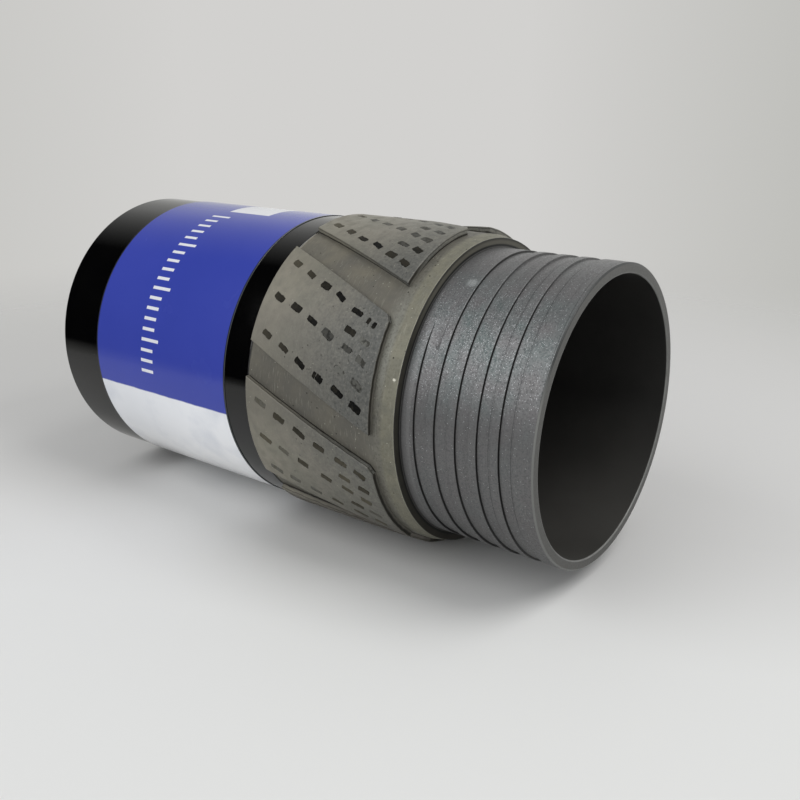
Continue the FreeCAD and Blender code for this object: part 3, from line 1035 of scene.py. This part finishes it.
# Table, light and camera
# The shell lies on its side on a pale table in the picture, so the table stands upright here, against the
# side that it lies on, and the camera is turned to match. The table is seen from its upper side only.
table_angle = 111.1         # the line of the round that lies on the table
table_gap = 0.1
table_reach = 1.6           # metres that the table goes before it melts into the background
shell_middle = Vector((0, 0, nose / 2 * MM))
to_table = place(table_angle, 1, 0) / MM
table_up = -to_table
table_along = Vector((0, 0, 1))
table_side = table_along.cross(table_up)
on_table = to_table * (pad_r + table_gap) * MM + shell_middle
towards_viewer = table_along * 0.424 + table_side * 0.906

table = bpy.data.objects.new("table", bpy.data.meshes.new("table"))
table.data.from_pydata([on_table + table_along * x * table_reach * 2 + table_side * y * table_reach * 2
                        for x, y in ((-1, -1), (1, -1), (1, 1), (-1, 1))], [], [(0, 1, 2, 3)])
if table.data.polygons[0].normal.dot(table_up) < 0:
    table.data.flip_normals()
scene.collection.objects.link(table)

pale_table, tree, inputs = finish("pale_table", Specular_IOR_Level=0.3, Roughness=0.55)
path = put(tree, "ShaderNodeLightPath")
from_middle = vector_maths("SUBTRACT", on_object(tree), on_table)
nearer = vector_maths("DOT_PRODUCT", from_middle, towards_viewer)
# painted shadow: the table is a little darker behind the shell's rear end
rearward = vector_maths("DOT_PRODUCT", from_middle, -table_along)
painted_shadow_rear = spread(rearward, 0.12, 0.18) * spread(nearer, 0.01, -0.04)
# painted shade: the table is darker beyond a line just in front of the shell and lighter towards the viewer;
# in gloss it is shown greyer
colour = laid(tint(spread(nearer, 0.01, 0.08), (219, 219, 218), (229, 230, 229)),
              (painted_shadow_rear, (201, 201, 200)), (path["Is Glossy Ray"], (202, 202, 200)))
colour.into(inputs["Base Color"])
off = vector_maths("LENGTH", from_middle)
in_gloss = path["Is Glossy Ray"] * spread(off, 0.22, 0.28)
melted = maths("MAXIMUM", spread(off, table_reach * 0.35, table_reach * 1.1), in_gloss)
far = spread(off, 0.12, 0.52, interpolation_type="SMOOTHSTEP")
melted = maths("MAXIMUM", melted, path["Is Camera Ray"] * far)
behind = put(tree, "ShaderNodeNewGeometry")["Backfacing"]
see_through = put(tree, "ShaderNodeMixShader", {
    0: maths("MAXIMUM", melted, behind), 1: Value(tree, tree.nodes["Principled BSDF"].outputs[0]),
    2: put(tree, "ShaderNodeBsdfTransparent")[0]})[0]
see_through.into(tree.nodes["Material Output"].inputs["Surface"])
table.data.materials.append(pale_table)

camera_place = Vector((0, -234.41, 275.59)) * MM
camera_aim = Vector((8.38, 0, 112.33)) * MM
camera = bpy.data.objects.new("camera", bpy.data.cameras.new("camera"))
camera.data.sensor_width = 36.0
camera.data.lens = 41.14
camera.data.clip_start = 0.01
forward = (camera_aim - camera_place).normalized()
right = forward.cross(table_up).normalized()
upward = right.cross(forward)
turned = Matrix((right, upward, -forward)).transposed().to_4x4()
camera.matrix_world = Matrix.Translation(camera_place) @ turned
scene.collection.objects.link(camera)
scene.camera = camera


def soft_lamp(name, spot, size, power, tone):
    """A square soft box that looks at the middle of the shell."""
    lamp = bpy.data.objects.new(name, bpy.data.lights.new(name, "AREA"))
    lamp.data.size = size
    lamp.data.energy = power
    lamp.data.color = tone
    lamp.location = shell_middle + spot
    lamp.rotation_mode = "QUATERNION"
    lamp.rotation_quaternion = (-spot).to_track_quat("-Z", "Y")
    scene.collection.objects.link(lamp)


above = table_up * 0.8 + table_along * 0.53 - table_side * 0.1
soft_lamp("lamp_above", above, size=0.55, power=4.15, tone=(1.0, 0.99, 0.98))
soft_lamp("lamp_front", place(-19, 1.02, -0.34) / MM, size=0.9, power=4.8, tone=(1.0, 1.0, 1.0))
soft_lamp("lamp_low", place(6, 1.05, 0.05) / MM, size=0.5, power=0.7, tone=(0.96, 0.98, 1.0))

world = bpy.data.worlds.new("studio")
world.use_nodes = True
scene.world = world
tree = world.node_tree
path = put(tree, "ShaderNodeLightPath")
direction = put(tree, "ShaderNodeTexCoord")["Generated"]
axes = axes_of(direction)
rise = vector_maths("DOT_PRODUCT", direction, table_up)
across = vector_maths("DOT_PRODUCT", direction, right)
# a dark end of the room, seen only in gloss, lies in front of the shell and towards its rear
shallow = spread(axes["Z"], -0.8, -0.64)
dark_end = spread(axes["Y"], shallow * 0.21 + 0.24, -0.31) * spread(axes["Z"], 0.1, -0.45)
gloss = laid(
    tint(shallow, (0.57, 0.57, 0.555, 1), (0.79, 0.79, 0.77, 1)),
    (dark_end, (0.003, 0.003, 0.003, 1)), (spread(rise, -0.15, -0.28), (0.47, 0.47, 0.45, 1)),
)
# the pale room is brightest level with the table, and the backdrop a little darker towards its sides
level = spread(maths("ABSOLUTE", rise), 0.42, 0.06)
sides = maths("MAXIMUM", spread(across, 0.13, 0.42), spread(across, -0.22, -0.42, 0, 0.5))
colour = laid(
    tint(level, (0.38, 0.38, 0.38, 1), (0.56, 0.57, 0.59, 1)),
    (path["Is Glossy Ray"], gloss),
    (path["Is Camera Ray"], tint(sides, (210, 209, 207), (190, 190, 186))),
)
colour.into(tree.nodes["Background"].inputs["Color"])

scene.view_settings.view_transform = "Standard"
